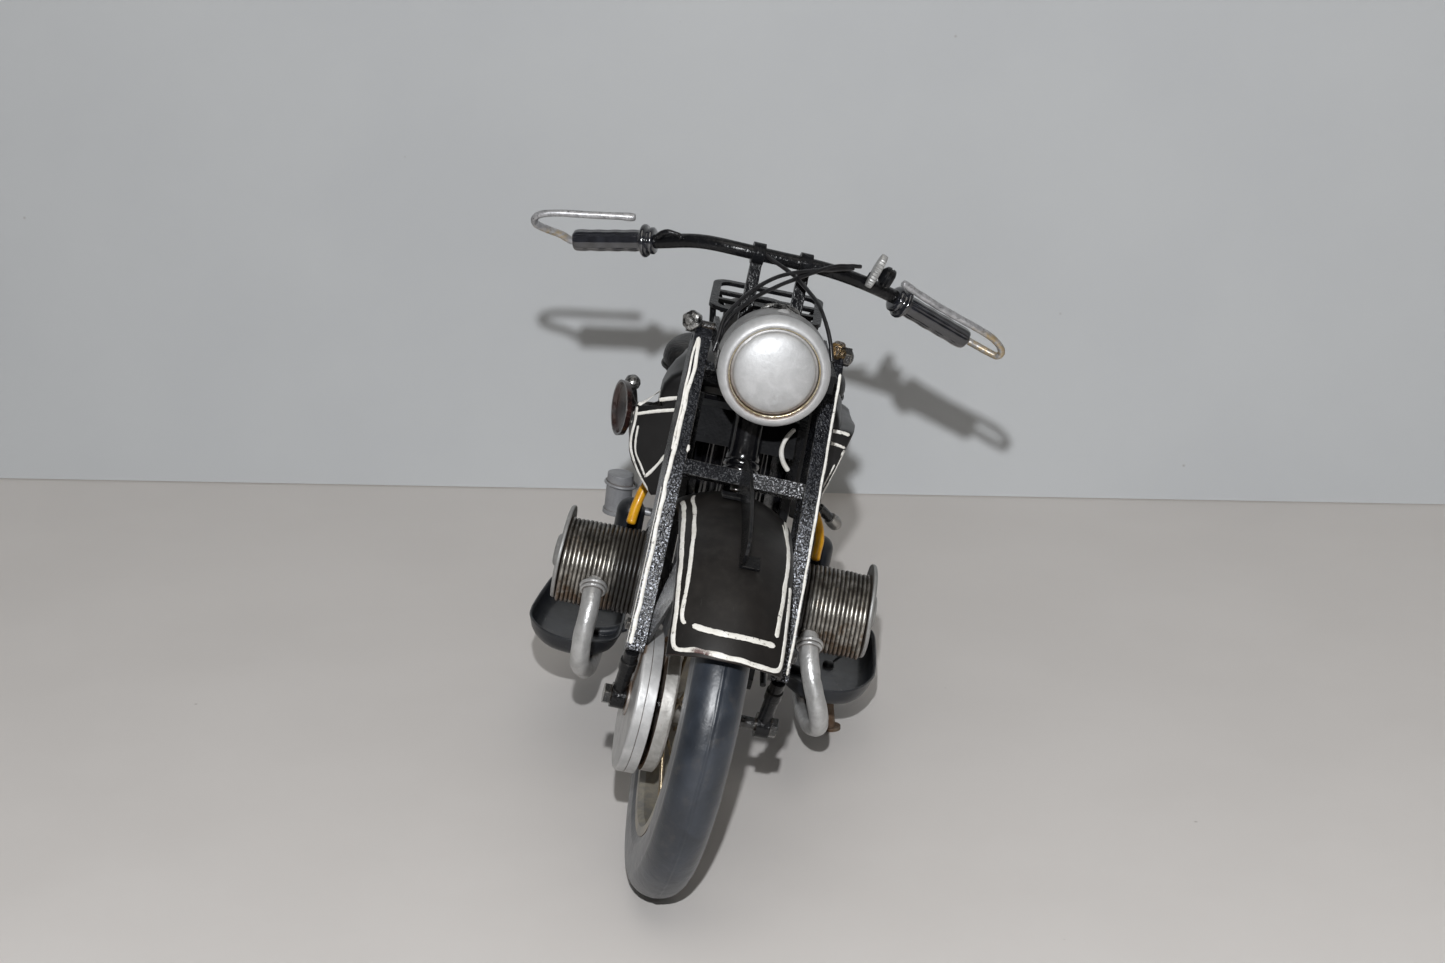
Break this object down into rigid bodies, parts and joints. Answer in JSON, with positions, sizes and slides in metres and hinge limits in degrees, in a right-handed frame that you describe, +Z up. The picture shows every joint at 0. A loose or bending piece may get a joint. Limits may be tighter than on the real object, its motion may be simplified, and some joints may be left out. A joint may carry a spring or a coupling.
{
  "type": "toy motorcycle",
  "caption": "Handmade tin toy motorcycle: flat-twin engine, pressed-steel steering fork, large round headlamp, spoked wheels, deep mudguards, saddle and rack, leaning on its side stand.",
  "frame": {"origin": "centre of the bounding box's footprint, on the floor the tyres and the stand rest on", "axes": "-Y forward, +X towards the rider's left, the side it leans to, +Z up from the floor"},
  "size_m": [0.1228, 0.2807, 0.1536],
  "materials": {
    "black_enamel": "brushed black enamel, lightly crinkled, chipped at edges",
    "matt_black": "brown-black satin enamel with hand-painted white lining",
    "tank_black": "black enamel with hand-painted white lining",
    "slate_enamel": "dark slate enamel, satin",
    "silver_paint": "silver paint with brown grime in the seams",
    "lamp_silver": "bright silver paint, brassy grime round the lens",
    "grey_steel": "dull grey end plate with scratched edge",
    "fin_steel": "bright wound-wire fins, brown staining between turns",
    "worn_steel": "worn bright steel",
    "bare_wire": "silvered wire rubbed through to brass colour",
    "wire": "dull wire, rust tinted",
    "dark_casting": "dark grey paint over pressed tin",
    "rusty_steel": "brown rusted wire",
    "tyre_rubber": "blue-grey moulded rubber with a centre seam",
    "grip_rubber": "ribbed dark rubber",
    "black_rubber": "thin black sleeving",
    "yellow_hose": "amber yellow sleeving",
    "saddle_black": "satin black",
    "tail_red": "dark red over black"
  },
  "bodies": {
    "frame": {"air_canister": "silver_paint", "carburettors": "slate_enamel", "crankcase": "dark_casting", "cylinder_heads": "grey_steel", "cylinder_left": "fin_steel", "cylinder_right": "fin_steel", "drive_shaft": "black_enamel", "exhaust_pipes": "silver_paint", "final_drive": "dark_casting", "footboards": "slate_enamel", "frame_crossmembers": "black_enamel", "frame_fasteners": "worn_steel", "frame_left": "black_enamel", "frame_right": "black_enamel", "fuel_hoses": "yellow_hose", "fuel_tank": "tank_black", "gearbox": "dark_casting", "head_tube": "black_enamel", "horn": "black_enamel", "luggage_rack": "black_enamel", "rear_axle": "worn_steel", "rear_fender": "matt_black", "rear_fender_stays": "black_enamel", "saddle": "saddle_black", "saddle_springs": "worn_steel", "silencers": "silver_paint", "tail_lamp": "tail_red", "tank_cap": "worn_steel"},
    "fork": {"bar_clamps": "black_enamel", "bar_dial": "worn_steel", "control_cables": "black_rubber", "fork_blades": "black_enamel", "fork_fasteners": "worn_steel", "fork_legs": "black_enamel", "fork_yokes": "black_enamel", "front_axle": "worn_steel", "front_brake_plates": "silver_paint", "front_fender": "matt_black", "front_fender_stays": "black_enamel", "front_number_plate": "matt_black", "grips": "grip_rubber", "hand_levers": "bare_wire", "handlebar": "black_enamel", "headlamp_brackets": "black_enamel", "headlamp_lens": "lamp_silver", "headlamp_rim": "lamp_silver", "headlamp_shell": "black_enamel", "steering_stem": "worn_steel"},
    "front_wheel": {"front_tyre": "tyre_rubber", "front_rim": "silver_paint", "front_spokes": "wire", "front_hub": "worn_steel", "front_brake_drum": "silver_paint"},
    "rear_wheel": {"rear_tyre": "tyre_rubber", "rear_rim": "silver_paint", "rear_spokes": "wire", "rear_hub": "silver_paint"},
    "side_stand": {"side_stand": "rusty_steel"},
    "kickstart": {"kickstart_lever": "worn_steel"},
    "gear_lever": {"gear_lever": "black_enamel"}
  },
  "joints": [
    {"name": "steering", "type": "hinge", "parent": "frame", "child": "fork", "pos_m": [-0.0023, -0.06964, 0.09903], "axis": [0.1639, 0.4772, 0.8634], "range_deg": [-26, 13]},
    {"name": "front_wheel_spin", "type": "hinge", "parent": "fork", "child": "front_wheel", "pos_m": [-0.01336, -0.09399, 0.04415], "axis": [0.9652, 0.1033, -0.2403], "continuous": true},
    {"name": "rear_wheel_spin", "type": "hinge", "parent": "frame", "child": "rear_wheel", "pos_m": [-0.01263, 0.08605, 0.04461], "axis": [0.9825, 0, -0.1865], "continuous": true},
    {"name": "stand_swing", "type": "hinge", "parent": "frame", "child": "side_stand", "pos_m": [0.01729, -0.00095, 0.01459], "axis": [0.9964, -0.0108, 0.0846], "range_deg": [0, 75]},
    {"name": "kickstart_swing", "type": "hinge", "parent": "frame", "child": "kickstart", "pos_m": [-0.00305, 0.00405, 0.04523], "axis": [0.9825, 0, -0.1865], "range_deg": [-60, 4]},
    {"name": "gear_shift", "type": "hinge", "parent": "frame", "child": "gear_lever", "pos_m": [-0.01964, 0.00565, 0.05754], "axis": [0.9825, 0, -0.1865], "range_deg": [-9, 1]}
  ]
}
